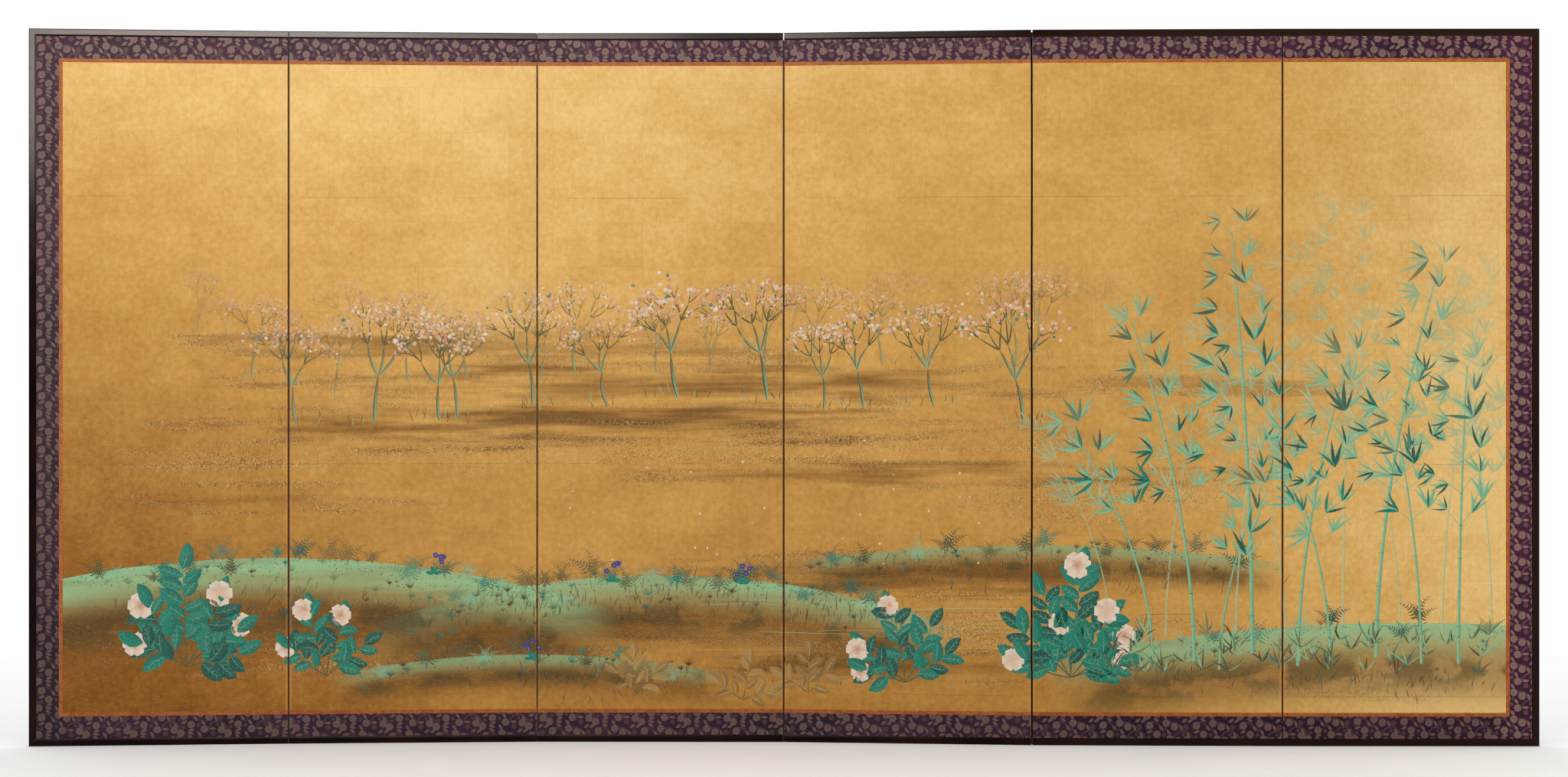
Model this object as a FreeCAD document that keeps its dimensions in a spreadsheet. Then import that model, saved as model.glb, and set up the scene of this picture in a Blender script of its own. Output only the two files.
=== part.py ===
import FreeCAD, Part
import os
import re
import Sketcher

# A folding screen of six panels, standing in the shallow curve of the photograph.
# Each panel is a light wooden lattice, papered over on all sides. Strips of paper,
# let into the layers at the panels' edges, cross from the front of one panel to the
# back of the next by turns, and are the hinges. On that lie the picture, a narrow
# silk border, a wide brocade border and, behind, the cover paper. Lacquered rails
# close the top and bottom of each panel, and a stile closes each end of the screen.
#
# Lengths are in millimetres and angles in degrees. A panel is drawn about its own
# middle, with x along its width from left to right, y from its front to its back and
# z up. The screen stands on z = 0 with its front towards -y and its middle at x = 0.

PANELS = (1, 2, 3, 4, 5, 6)
FIRST, LAST = PANELS[0], PANELS[-1]
SEAMS = PANELS[:-1]
VALLEYS = (1, 3, 5)

SIZES = (
    ("screen_height", 1742, "floor to the top of the top rail"),
    ("panel_width", 604, "one panel from seam edge to seam edge, without a stile"),
    ("seam_gap", 2.4, "air between the edges of two panels that lie flat"),
    ("fold_stand_off", 0.75, "fold line's distance in front of the rails' faces"),
    ("frame_face", 18, "width of a rail or stile, seen from the front"),
    ("frame_depth", 21, "depth of a rail or stile, front to back"),
    ("frame_round", 2, "radius of the frame's two outer edges"),
    ("bevel_width", 4, "sloping edge of the frame beside the brocade, seen from the front"),
    ("bevel_drop", 1.1, "how far that edge slopes back"),
    ("core_depth", 15, "thickness of the wooden lattice"),
    ("core_member", 27, "width of the lattice's outer members"),
    ("stick_width", 13, "width of the lattice's inner sticks"),
    ("uprights", 3, "number of inner sticks that stand"),
    ("crossbars", 9, "number of inner sticks that lie"),
    ("peg_width", 4, "side of the square pegs that hold the frame"),
    ("peg_reach", 9, "how far a peg stands into the frame"),
    ("peg_play", 0.1, "air round a peg and past its end"),
    ("pegs", 3, "number of pegs in a rail"),
    ("stile_pegs", 6, "number of pegs in a stile"),
    ("under_paper", 0.8, "thickness of the layered papers over the lattice"),
    ("hinge_paper", 0.4, "thickness of a hinge strip"),
    ("hinge_leaf", 40, "width of a hinge strip's pasted leaf"),
    ("hinge_strip", 345, "height of a whole hinge strip"),
    ("strip_slit", 0.5, "slit between two hinge strips"),
    ("flap_clearance", 0.5, "air between a strip where it crosses and the next panel"),
    ("seam_trim", 0.6, "how far the picture and covers stop short of a seam edge"),
    ("picture_sheet", 0.5, "thickness of the picture and its lining"),
    ("brocade_width", 54, "width of the brocade border"),
    ("brocade_sheet", 0.7, "thickness of the brocade and its lining"),
    ("border_width", 9, "width of the narrow silk border"),
    ("border_sheet", 0.8, "thickness of that border and its lining"),
    ("cover_sheet", 0.5, "thickness of the back's cover paper"),
    ("first_yaw", 5.2, "angle of the leftmost panel, its right edge going back"),
    ("bend_1", 1.5, "turn at each seam, more than zero where the fronts come together"),
    ("bend_2", 4.2, "turn at the second seam"),
    ("bend_3", 5.6, "turn at the third seam"),
    ("bend_4", -4.3, "turn at the fourth seam"),
    ("bend_5", -1.6, "turn at the fifth seam"),
    ("overrun", 5, "how far a cutting shape runs past the wood"),
)

FORMULAS = (
    ("half_width", "panel_width / 2", "middle of a panel to its seam edge"),
    ("half_papered", "screen_height / 2 - frame_face", "middle of a panel to its rails"),
    ("half_frame", "frame_depth / 2", "mid-depth to the frame's front or back"),
    ("papered_face", "core_depth / 2 + under_paper", "mid-depth to the papered face"),
    ("core_half_width", "half_width - under_paper", "middle to the lattice's edge"),
    ("core_half_height", "half_papered - under_paper", "middle to the lattice's end"),
    ("bay_half_width", "core_half_width - core_member", "half the lattice's inner width"),
    ("bay_half_height", "core_half_height - core_member", "half its inner height"),
    ("upright_pitch", "2 * bay_half_width / (uprights + 1)", "from upright to upright"),
    ("crossbar_pitch", "2 * bay_half_height / (crossbars + 1)", "from crossbar to crossbar"),
    ("first_upright", "upright_pitch - bay_half_width", "place of the leftmost upright"),
    ("first_crossbar", "crossbar_pitch - bay_half_height", "place of the lowest crossbar"),
    ("peg_pitch", "panel_width / pegs", "from peg to peg in a rail"),
    ("first_peg", "peg_pitch / 2 - half_width", "place of a rail's leftmost peg"),
    ("stile_peg_pitch", "2 * half_papered / stile_pegs", "from peg to peg in a stile"),
    ("first_stile_peg", "stile_peg_pitch / 2 - half_papered", "place of its lowest peg"),
    ("half_picture", "half_papered - brocade_width - border_width", "middle to picture's top"),
    ("seam_reach", "half_width + seam_gap / 2", "middle of a panel to the fold line, along it"),
    ("fold_reach", "half_frame + fold_stand_off", "mid-depth to the fold line"),
    ("yaw_1", "first_yaw", "direction of panel 1"),
    ("along_1", "0", "panel 1's place before the screen is centred"),
    ("away_1", "0", "the same, from front to back"),
)


def fold_formulas(seam):
    """Where a fold line stands, and where it puts the panel on its right."""
    after = seam + 1
    depth = "-fold_reach" if seam in VALLEYS else "fold_reach"
    return [
        (f"fold_depth_{seam}", depth, "the fold line in front of or behind mid-depth"),
        (f"fold_along_{seam}", f"along_{seam} + cos(yaw_{seam}) * seam_reach"
         f" - sin(yaw_{seam}) * fold_depth_{seam}", "the fold line's place"),
        (f"fold_away_{seam}", f"away_{seam} + sin(yaw_{seam}) * seam_reach"
         f" + cos(yaw_{seam}) * fold_depth_{seam}", "the same, from front to back"),
        (f"yaw_{after}", f"yaw_{seam} - bend_{seam}", f"direction of panel {after}"),
        (f"along_{after}", f"fold_along_{seam} + cos(yaw_{after}) * seam_reach"
         f" + sin(yaw_{after}) * fold_depth_{seam}", f"panel {after}'s place"),
        (f"away_{after}", f"fold_away_{seam} + sin(yaw_{after}) * seam_reach"
         f" - cos(yaw_{after}) * fold_depth_{seam}", "the same, from front to back"),
    ]


def reach_formulas():
    """The screen's extent on the floor, for centring. Its two ends are rounded."""
    low, high = [], []
    for panel in PANELS:
        for sign, is_end in (("-", panel == FIRST), ("+", panel == LAST)):
            length = "(half_width + frame_face - frame_round)" if is_end else "half_width"
            depth = "(half_frame - frame_round)" if is_end else "half_frame"
            rounding = "frame_round" if is_end else "0"
            end = f"away_{panel} {sign} sin(yaw_{panel}) * {length}"
            low.append(f"{end} - cos(yaw_{panel}) * {depth} - {rounding}")
            high.append(f"{end} + cos(yaw_{panel}) * {depth} + {rounding}")
    first_tip, last_tip = [
        f"(cos(yaw_{panel}) * (half_width + frame_face - frame_round)"
        f" + abs(sin(yaw_{panel})) * (half_frame - frame_round) + frame_round)"
        for panel in (FIRST, LAST)]
    return [
        ("low_along", f"along_{FIRST} - {first_tip}", "leftmost point"),
        ("high_along", f"along_{LAST} + {last_tip}", "rightmost point"),
        ("low_away", "min(" + "; ".join(low) + ")", "foremost point"),
        ("high_away", "max(" + "; ".join(high) + ")", "rearmost point"),
        ("middle_along", "(low_along + high_along) / 2", "middle of the screen's length"),
        ("middle_away", "(low_away + high_away) / 2", "middle of the screen's depth"),
    ]


doc = FreeCAD.newDocument("folding_screen")
sheet = doc.addObject("Spreadsheet::Sheet", "sizes")


def fill_sheet():
    """One row for each size: its name, its value or formula, and what it is."""
    formulas = list(FORMULAS)
    for seam in SEAMS:
        formulas += fold_formulas(seam)
    formulas += reach_formulas()
    rows = [(name, str(value), note) for name, value, note in SIZES]
    rows += [(name, "=" + formula, note) for name, formula, note in formulas]
    for row, (name, value, note) in enumerate(rows, start=1):
        sheet.set(f"A{row}", name)
        sheet.set(f"B{row}", value)
        sheet.set(f"C{row}", note)
        sheet.setAlias(f"B{row}", name)
    doc.recompute()
    return {name for name, value, note in rows}


NAMES = fill_sheet()


def bound(text):
    """The expression with each size's name pointed at the sheet."""
    return re.sub(r"[a-z]\w*", lambda word: "sizes." + word[0] if word[0] in NAMES else word[0], text)


def bind(thing, **properties):
    """Tie properties to expressions. Two underscores stand for a dot."""
    for name, text in properties.items():
        thing.setExpression(name.replace("__", "."), bound(text))


def worth(text):
    """What an expression comes to now."""
    return float(doc.getObject("sizes").evalExpression(bound(text)))


def new_body(name):
    return doc.addObject("PartDesign::Body", name)


def origin_part(body, role):
    """One of a body's own origin planes or axes."""
    return next(part for part in body.Origin.OriginFeatures if part.Role == role)


def outline(body, name, plane, corners, height="0"):
    """A closed sketch through corners that are tied to the sheet, height off its plane."""
    sketch = body.newObject("Sketcher::SketchObject", name)
    sketch.AttachmentSupport = [(origin_part(body, plane), "")]
    sketch.MapMode = "FlatFace"
    bind(sketch, AttachmentOffset__Base__z=height)
    points = [FreeCAD.Vector(worth(across), worth(up), 0) for across, up in corners]
    for start, end in zip(points, points[1:] + points[:1]):
        sketch.addGeometry(Part.LineSegment(start, end), False)
    for side in range(len(corners)):
        following = (side + 1) % len(corners)
        sketch.addConstraint(Sketcher.Constraint("Coincident", side, 2, following, 1))
    for side, (point, texts) in enumerate(zip(points, corners)):
        for kind, value, text in zip(("DistanceX", "DistanceY"), (point.x, point.y), texts):
            index = sketch.addConstraint(Sketcher.Constraint(kind, -1, 1, side, 1, value))
            sketch.setExpression(f"Constraints[{index}]", bound(text))
    return sketch


def rectangle(left, right, low, high):
    return [(left, low), (right, low), (right, high), (left, high)]


def pad(body, sketch, length, both_ways=False):
    feature = body.newObject("PartDesign::Pad", sketch.Name + "_pad")
    feature.Profile = sketch
    feature.SideType = "Symmetric" if both_ways else "One side"
    bind(feature, Length=length)
    return finish(body, feature)


def pocket(body, sketch, length, both_ways=False, along_normal=False):
    """Cut against the sketch's normal, along it, or both ways, and make sure it cuts."""
    before = body.Shape.Volume
    feature = body.newObject("PartDesign::Pocket", sketch.Name + "_pocket")
    feature.Profile = sketch
    feature.SideType = "Symmetric" if both_ways else "One side"
    feature.Reversed = along_normal
    bind(feature, Length=length)
    finish(body, feature)
    if feature.Shape.Volume >= before:
        raise RuntimeError(feature.Name + " cuts nothing")
    return feature


def row_of(body, features, axis, pitch, count):
    """Repeat features along an axis, or the whole body where none are named."""
    pattern = body.newObject("PartDesign::LinearPattern", f"{body.Name}_row_{len(body.Group)}")
    pattern.Originals = features
    if not features:
        pattern.TransformMode = "Whole shape"
    pattern.Direction = (origin_part(body, axis), [""])
    pattern.Mode = "Spacing"
    bind(pattern, Offset=pitch, Occurrences=count)
    return finish(body, pattern)


def mirrored(body, plane):
    """Add the whole body's mirror image in one of its origin planes."""
    mirror = body.newObject("PartDesign::Mirrored", f"{body.Name}_mirror_{len(body.Group)}")
    mirror.TransformMode = "Whole shape"
    mirror.MirrorPlane = (origin_part(body, plane), [""])
    return finish(body, mirror)


def finish(body, feature):
    body.Tip = feature
    doc.recompute()
    return feature


def moulding(inner, sign):
    """A frame member's section as (outward, front to back), bevelled at its inner front."""
    outer = f"{sign}({inner} + frame_face)"
    slope_end = f"{sign}({inner} + bevel_width)"
    inner = f"{sign}{inner}"
    return [
        (outer, "-half_frame"), (outer, "half_frame"), (inner, "half_frame"),
        (inner, "bevel_drop - half_frame"), (slope_end, "-half_frame"),
    ]


# Two places count as one when they differ by less than this share of the piece.
NEAR_SHARE = 1e-6


def ease_outer_edges(body, base, is_outer):
    """Round the two long edges of a frame member that is_outer picks by their middle."""
    names = []
    for number, edge in enumerate(base.Shape.Edges, start=1):
        middle = edge.CenterOfMass
        on_face = abs(abs(middle.y) - worth("half_frame")) < edge.Length * NEAR_SHARE
        if on_face and is_outer(middle):
            names.append(f"Edge{number}")
    fillet = body.newObject("PartDesign::Fillet", body.Name + "_rounding")
    fillet.Base = (base, names)
    bind(fillet, Radius="frame_round")
    return finish(body, fillet)


def mitre(body, name, sign_x, sign_z, cuts_rail):
    """Take off what the other member of a frame corner fills, at 45 degrees."""
    run = "(frame_face + overrun)"
    inner = (f"{sign_x}half_width", f"{sign_z}half_papered")
    outer = (f"{sign_x}(half_width + {run})", f"{sign_z}(half_papered + {run})")
    corner = (outer[0], inner[1]) if cuts_rail else (inner[0], outer[1])
    triangle = outline(body, name, "XZ_Plane", [inner, corner, outer])
    pocket(body, triangle, "frame_depth + overrun", both_ways=True)


def make_rail(name, sign_z, panel):
    """A rail with its peg holes, mitred where it meets a stile."""
    body = new_body(name)
    left = "half_width + frame_face" if panel == FIRST else "half_width"
    right = "half_width + frame_face" if panel == LAST else "half_width"
    section = [(deep, across) for across, deep in moulding("half_papered", sign_z)]
    profile = outline(body, name + "_section", "YZ_Plane", section, f"-({left})")
    blank = pad(body, profile, f"{left} + {right}")
    outer = worth("half_papered + frame_face")
    ease_outer_edges(body, blank, lambda at: abs(abs(at.z) - outer) < outer * NEAR_SHARE)
    if panel == FIRST:
        mitre(body, name + "_mitre", "-", sign_z, True)
    if panel == LAST:
        mitre(body, name + "_mitre", "", sign_z, True)
    hole = outline(body, name + "_hole", "XY_Plane", peg_square("first_peg", "peg_play"),
                   f"{sign_z}half_papered")
    cut = pocket(body, hole, "peg_reach + peg_play", along_normal=sign_z == "")
    row_of(body, [cut], "X_Axis", "peg_pitch", "pegs")
    return body


def make_stile(name, sign_x):
    """The upright frame member at one end of the screen, mitred into both rails."""
    body = new_body(name)
    profile = outline(body, name + "_section", "XY_Plane", moulding("half_width", sign_x))
    blank = pad(body, profile, "screen_height", both_ways=True)
    outer = worth("half_width + frame_face")
    ease_outer_edges(body, blank, lambda at: abs(abs(at.x) - outer) < outer * NEAR_SHARE)
    mitre(body, name + "_top_mitre", sign_x, "", False)
    mitre(body, name + "_bottom_mitre", sign_x, "-", False)
    hole = outline(body, name + "_hole", "YZ_Plane", stile_peg_square("peg_play"),
                   f"{sign_x}half_width")
    cut = pocket(body, hole, "peg_reach + peg_play", along_normal=sign_x == "")
    row_of(body, [cut], "Z_Axis", "stile_peg_pitch", "stile_pegs")
    return body


def peg_square(middle, play="0"):
    """A peg's square section about a place along a rail, with play on every side."""
    return rectangle(f"{middle} - peg_width / 2 - {play}", f"{middle} + peg_width / 2 + {play}",
                     f"-peg_width / 2 - {play}", f"peg_width / 2 + {play}")


def stile_peg_square(play="0"):
    """The same at a stile's lowest peg."""
    return rectangle(f"-peg_width / 2 - {play}", f"peg_width / 2 + {play}",
                     f"first_stile_peg - peg_width / 2 - {play}",
                     f"first_stile_peg + peg_width / 2 + {play}")


def make_core_rails():
    """The lattice's top and bottom members, lapped at their ends, with the frame's pegs."""
    body = new_body("core_rails")
    wood = rectangle("-core_half_width", "core_half_width", "bay_half_height", "core_half_height")
    pad(body, outline(body, "core_rail", "XZ_Plane", wood), "core_depth", both_ways=True)
    for side, left, right in (("left", "-core_half_width", "-bay_half_width"),
                              ("right", "bay_half_width", "core_half_width")):
        lap = rectangle(left, right, "bay_half_height", "core_half_height")
        pocket(body, outline(body, f"core_rail_{side}_lap", "XZ_Plane", lap), "core_depth / 2")
    peg = outline(body, "peg", "XY_Plane", peg_square("first_peg"), "core_half_height")
    first = pad(body, peg, "under_paper + peg_reach")
    row_of(body, [first], "X_Axis", "peg_pitch", "pegs")
    mirrored(body, "XY_Plane")
    return body


def make_core_stiles(name, pegged_side=None):
    """The lattice's side members, lapped at their ends, pegged where a stile closes them."""
    body = new_body(name)
    wood = rectangle("bay_half_width", "core_half_width", "-core_half_height", "core_half_height")
    pad(body, outline(body, name + "_wood", "XZ_Plane", wood), "core_depth", both_ways=True)
    for end, low, high in (("top", "bay_half_height", "core_half_height"),
                           ("bottom", "-core_half_height", "-bay_half_height")):
        lap = outline(body, f"{name}_{end}_lap", "XZ_Plane",
                      rectangle("bay_half_width", "core_half_width", low, high))
        pocket(body, lap, "core_depth / 2", along_normal=True)
    mirrored(body, "YZ_Plane")
    if pegged_side is not None:
        start = "core_half_width" if pegged_side == "" else "-half_width - peg_reach"
        peg = outline(body, name + "_peg", "YZ_Plane", stile_peg_square(), start)
        first = pad(body, peg, "under_paper + peg_reach")
        row_of(body, [first], "Z_Axis", "stile_peg_pitch", "stile_pegs")
    return body


def make_uprights():
    """The standing sticks, notched to half their depth in front at every crossing."""
    body = new_body("uprights_row")
    left, right = "first_upright - stick_width / 2", "first_upright + stick_width / 2"
    stick = rectangle(left, right, "-bay_half_height", "bay_half_height")
    pad(body, outline(body, "upright", "XZ_Plane", stick), "core_depth", both_ways=True)
    crossing = rectangle(left, right, "first_crossbar - stick_width / 2",
                         "first_crossbar + stick_width / 2")
    notch = pocket(body, outline(body, "upright_notch", "XZ_Plane", crossing),
                   "core_depth / 2", along_normal=True)
    row_of(body, [notch], "Z_Axis", "crossbar_pitch", "crossbars")
    row_of(body, [], "X_Axis", "upright_pitch", "uprights")
    return body


def make_crossbars():
    """The lying sticks, notched to half their depth behind, to lap with the uprights."""
    body = new_body("crossbars_row")
    low, high = "first_crossbar - stick_width / 2", "first_crossbar + stick_width / 2"
    stick = rectangle("-bay_half_width", "bay_half_width", low, high)
    pad(body, outline(body, "crossbar", "XZ_Plane", stick), "core_depth", both_ways=True)
    crossing = rectangle("first_upright - stick_width / 2", "first_upright + stick_width / 2",
                         low, high)
    notch = pocket(body, outline(body, "crossbar_notch", "XZ_Plane", crossing), "core_depth / 2")
    row_of(body, [notch], "X_Axis", "upright_pitch", "uprights")
    row_of(body, [], "Z_Axis", "crossbar_pitch", "crossbars")
    return body


STRIP_ENDS = ("half_papered", "2 * hinge_strip", "hinge_strip", "0",
              "-hinge_strip", "-2 * hinge_strip", "-half_papered")


def strip_section(sign_x, leaf_in_front, wraps):
    """A hinge strip's part on one panel, as (along, front to back).

    Every part has a leaf on the front or the back. Where it wraps, it goes on round
    the panel's edge and crosses the seam level with the opposite face.
    """
    leaf, cross = ("-", "") if leaf_in_front else ("", "-")
    inner = f"{sign_x}(half_width - hinge_leaf)"
    web = f"{sign_x}(half_width - hinge_paper)"
    edge = f"{sign_x}half_width"
    tip = f"{sign_x}(half_width + seam_gap - flap_clearance)"
    leaf_out, leaf_in = f"{leaf}papered_face", f"{leaf}(papered_face - hinge_paper)"
    cross_out, cross_in = f"{cross}papered_face", f"{cross}(papered_face - hinge_paper)"
    if not wraps:
        return [(inner, leaf_out), (edge, leaf_out), (edge, leaf_in), (inner, leaf_in)]
    return [
        (inner, leaf_out), (edge, leaf_out), (edge, cross_in), (tip, cross_in),
        (tip, cross_out), (web, cross_out), (web, leaf_in), (inner, leaf_in),
    ]


def make_hinge_papers(name, panel):
    """A panel's share of the strips at its seams, which change sides by turns.

    The strips that start on the front of a seam's left panel are pasted to the back of
    its right panel, and the next ones the other way. At a valley they cross in front,
    where the panels' faces fold together, and at a mountain behind.
    """
    body = new_body(name)
    for sign_x, seam in (("-", panel - 1), ("", panel)):
        if seam not in SEAMS:
            continue
        on_left_panel = sign_x == ""
        side = "right" if on_left_panel else "left"
        for number, (top, bottom) in enumerate(zip(STRIP_ENDS, STRIP_ENDS[1:])):
            starts_in_front = number % 2 == 0
            leaf_in_front = starts_in_front == on_left_panel
            wraps = leaf_in_front != (seam in VALLEYS)
            above = "0" if number == 0 else "strip_slit / 2"
            below = "0" if bottom == STRIP_ENDS[-1] else "strip_slit / 2"
            sketch = outline(body, f"{name}_{side}_{number + 1}", "XY_Plane",
                             strip_section(sign_x, leaf_in_front, wraps), f"{bottom} + {below}")
            pad(body, sketch, f"{top} - {above} - ({bottom} + {below})")
    return body


def board(name, across, deep, up):
    """A flat sheet between two expressions on each axis."""
    sheet_box = doc.addObject("Part::Box", name)
    bind(sheet_box, Length=f"{across[1]} - ({across[0]})", Width=f"{deep[1]} - ({deep[0]})",
         Height=f"{up[1]} - ({up[0]})", Placement__Base__x=across[0],
         Placement__Base__y=deep[0], Placement__Base__z=up[0])
    return sheet_box


def cut_away(name, base, tool):
    cut = doc.addObject("Part::Cut", name)
    cut.Base = base
    cut.Tool = tool
    return cut


def make_under_paper(name, hinge_papers, core_rails, core_stiles):
    """The papers round the lattice, let in for the hinge strips and pierced by the pegs."""
    outside = board(name + "_outside", ("-half_width", "half_width"),
                    ("-papered_face", "papered_face"), ("-half_papered", "half_papered"))
    inside = board(name + "_inside", ("-core_half_width", "core_half_width"),
                   ("-core_depth / 2", "core_depth / 2"), ("-core_half_height", "core_half_height"))
    shell = cut_away(name + "_shell", outside, inside)
    let_in = cut_away(name + "_let_in", shell, hinge_papers)
    pierced = cut_away(name + "_pierced", let_in, core_rails)
    return cut_away(name + "_side_pierced", pierced, core_stiles)


def frame_side(panel, sign_x):
    """Whether a stile closes this side of a panel."""
    return (panel == FIRST and sign_x == "-") or (panel == LAST and sign_x == "")


def sheet_end(panel, sign_x, set_in):
    """Where a sheet ends: set in from a stile, or just short of a seam edge."""
    short_by = set_in if frame_side(panel, sign_x) else "seam_trim"
    return f"{sign_x}(half_width - {short_by})"


def make_surround(name, panel, width, outer_inset, thickness):
    """A border's strips on one panel: top, bottom and, beside a stile, a side strip."""
    deep = (f"-papered_face - {thickness}", "-papered_face")
    inner_inset = f"({outer_inset} + {width})"
    across = (sheet_end(panel, "-", inner_inset), sheet_end(panel, "", inner_inset))
    high = (f"half_papered - {inner_inset}", f"half_papered - {outer_inset}")
    low = (f"{outer_inset} - half_papered", f"{inner_inset} - half_papered")
    strips = [board(name + "_top", across, deep, high), board(name + "_bottom", across, deep, low)]
    for sign_x in ("-", ""):
        if frame_side(panel, sign_x):
            edges = [f"{sign_x}(half_width - {inner_inset})", f"{sign_x}(half_width - {outer_inset})"]
            left, right = edges[::-1] if sign_x == "-" else edges
            strips.append(board(name + "_side", (left, right), deep, (low[0], high[1])))
    return strips


def make_picture(name, panel):
    inset = "(brocade_width + border_width)"
    across = (sheet_end(panel, "-", inset), sheet_end(panel, "", inset))
    return board(name + "_sheet", across, ("-papered_face - picture_sheet", "-papered_face"),
                 ("-half_picture", "half_picture"))


def make_cover(name, panel):
    across = (sheet_end(panel, "-", "0"), sheet_end(panel, "", "0"))
    return board(name + "_sheet", across, ("papered_face", "papered_face + cover_sheet"),
                 ("-half_papered", "half_papered"))


nodes = []


def stand(name, panel, pieces):
    """Put pieces that are drawn about a panel's middle in that panel's place, as one node."""
    node = doc.addObject("Part::Compound", name)
    node.Label = name
    node.Links = pieces
    bind(node, Placement__Base__x=f"along_{panel} - middle_along",
         Placement__Base__y=f"away_{panel} - middle_away",
         Placement__Base__z="screen_height / 2",
         Placement__Rotation__Angle=f"yaw_{panel}")
    nodes.append(node)


core_rails = make_core_rails()
plain_core_stiles = make_core_stiles("core_stiles")
core_stiles = {panel: plain_core_stiles for panel in PANELS}
core_stiles[FIRST] = make_core_stiles("core_stiles_left_end", "-")
core_stiles[LAST] = make_core_stiles("core_stiles_right_end", "")
uprights = make_uprights()
crossbars = make_crossbars()

for panel in PANELS:
    label = f"panel_{panel}_"
    hinge_papers = make_hinge_papers(f"hinge_papers_{panel}", panel)
    stand(label + "lattice_core", panel, [core_rails, core_stiles[panel], uprights, crossbars])
    stand(label + "hinge_papers", panel, [hinge_papers])
    stand(label + "under_paper", panel,
          [make_under_paper(f"under_paper_{panel}", hinge_papers, core_rails, core_stiles[panel])])
    stand(label + "picture", panel, [make_picture(f"picture_{panel}", panel)])
    stand(label + "inner_border", panel,
          make_surround(f"inner_border_{panel}", panel, "border_width", "brocade_width",
                        "border_sheet"))
    stand(label + "brocade", panel,
          make_surround(f"brocade_{panel}", panel, "brocade_width", "0", "brocade_sheet"))
    stand(label + "back_cover", panel, [make_cover(f"back_cover_{panel}", panel)])
    stand(label + "top_rail", panel, [make_rail(f"top_rail_{panel}", "", panel)])
    stand(label + "bottom_rail", panel, [make_rail(f"bottom_rail_{panel}", "-", panel)])

stand("left_stile", FIRST, [make_stile("left_end_stile", "-")])
stand("right_stile", LAST, [make_stile("right_end_stile", "")])

doc.recompute()

for thing in doc.Objects:
    if "Invalid" in thing.State or "Error" in thing.State:
        raise RuntimeError(f"{thing.Name} failed: {thing.State}")
for node in nodes:
    if node.Shape.isNull() or not node.Shape.isValid() or not node.Shape.Solids:
        raise RuntimeError(f"{node.Label} has no sound solid")

os.makedirs("parts", exist_ok=True)
for node in nodes:
    node.Shape.exportStep(f"parts/{node.Label}.step")

whole = Part.makeCompound([node.Shape for node in nodes]).BoundBox
print(f"{len(nodes)} nodes, {sum(len(node.Shape.Solids) for node in nodes)} solids")
print(f"screen {whole.XLength:.2f} x {whole.YLength:.2f} x {whole.ZLength:.2f}")
for seam in SEAMS:
    along = worth(f"fold_along_{seam} - middle_along")
    away = worth(f"fold_away_{seam} - middle_away")
    print(f"fold line {seam} at x {along:.4f}, y {away:.4f}")
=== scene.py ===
# %% [markdown]
# # Dressing a six-panel folding screen
#
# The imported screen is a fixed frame: rails and stiles, papered panels, borders and picture
# sheets, each in its place. This lesson gives each its finish, lays a painting on the gold
# and pastes the paper that bends at the seams.

import math
import random
from functools import reduce

import bmesh
import bpy
import numpy as np
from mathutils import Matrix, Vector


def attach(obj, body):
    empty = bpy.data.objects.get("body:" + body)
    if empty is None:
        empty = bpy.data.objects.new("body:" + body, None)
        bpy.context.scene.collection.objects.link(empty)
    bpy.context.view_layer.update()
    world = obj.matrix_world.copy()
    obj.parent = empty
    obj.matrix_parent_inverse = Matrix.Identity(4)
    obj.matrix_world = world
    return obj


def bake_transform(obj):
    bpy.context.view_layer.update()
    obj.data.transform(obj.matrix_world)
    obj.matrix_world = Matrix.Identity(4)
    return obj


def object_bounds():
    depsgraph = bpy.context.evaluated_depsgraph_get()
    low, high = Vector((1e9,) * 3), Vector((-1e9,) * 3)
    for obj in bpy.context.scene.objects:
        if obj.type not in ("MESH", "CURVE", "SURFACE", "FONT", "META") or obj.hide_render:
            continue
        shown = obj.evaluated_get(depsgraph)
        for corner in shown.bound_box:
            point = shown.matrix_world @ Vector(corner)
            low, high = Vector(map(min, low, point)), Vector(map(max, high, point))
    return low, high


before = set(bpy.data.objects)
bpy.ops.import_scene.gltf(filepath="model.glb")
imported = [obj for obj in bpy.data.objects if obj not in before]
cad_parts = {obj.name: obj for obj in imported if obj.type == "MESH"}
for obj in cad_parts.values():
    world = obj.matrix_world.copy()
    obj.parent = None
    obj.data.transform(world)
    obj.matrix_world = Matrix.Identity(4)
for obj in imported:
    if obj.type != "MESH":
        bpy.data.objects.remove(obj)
packed_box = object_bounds()
bpy.ops.object.select_all(action="DESELECT")
scene = bpy.context.scene
MM = 0.001
PANELS = range(1, 7)
print("The packed screen spans", [round(v, 4) for v in packed_box[1] - packed_box[0]], "m")

# %% [markdown]
# ## The camera
#
# The photograph was taken from straight ahead, level with the screen's middle. How much
# taller the nearer seams look than the farther ones gives the distance, about seven metres.
# The lens follows from the width of the view.

# %% Set up the camera
CAMERA_PLACE = (0, -7.1335, 0.8684)

lens = bpy.data.cameras.new("view_lens")
lens.lens = 67
lens.sensor_width = 36
camera = bpy.data.objects.new("view", lens)
camera.location = CAMERA_PLACE
camera.rotation_euler = (math.pi / 2, 0, 0)
scene.collection.objects.link(camera)
scene.camera = camera
print("The camera stands", -CAMERA_PLACE[1], "m before the middle of the screen")

# %% [markdown]
# ## Writing materials as sums
#
# A material's pattern is arithmetic on the place of each point. A small class wraps a
# socket, so that a Python sum on it adds Math nodes. One method adds the other kinds.


# %% A socket that can be reckoned with
def sum_by(operation):
    """A method that adds one kind of Math node."""
    return lambda wire, *others: wire.maths(operation, *others)


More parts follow.
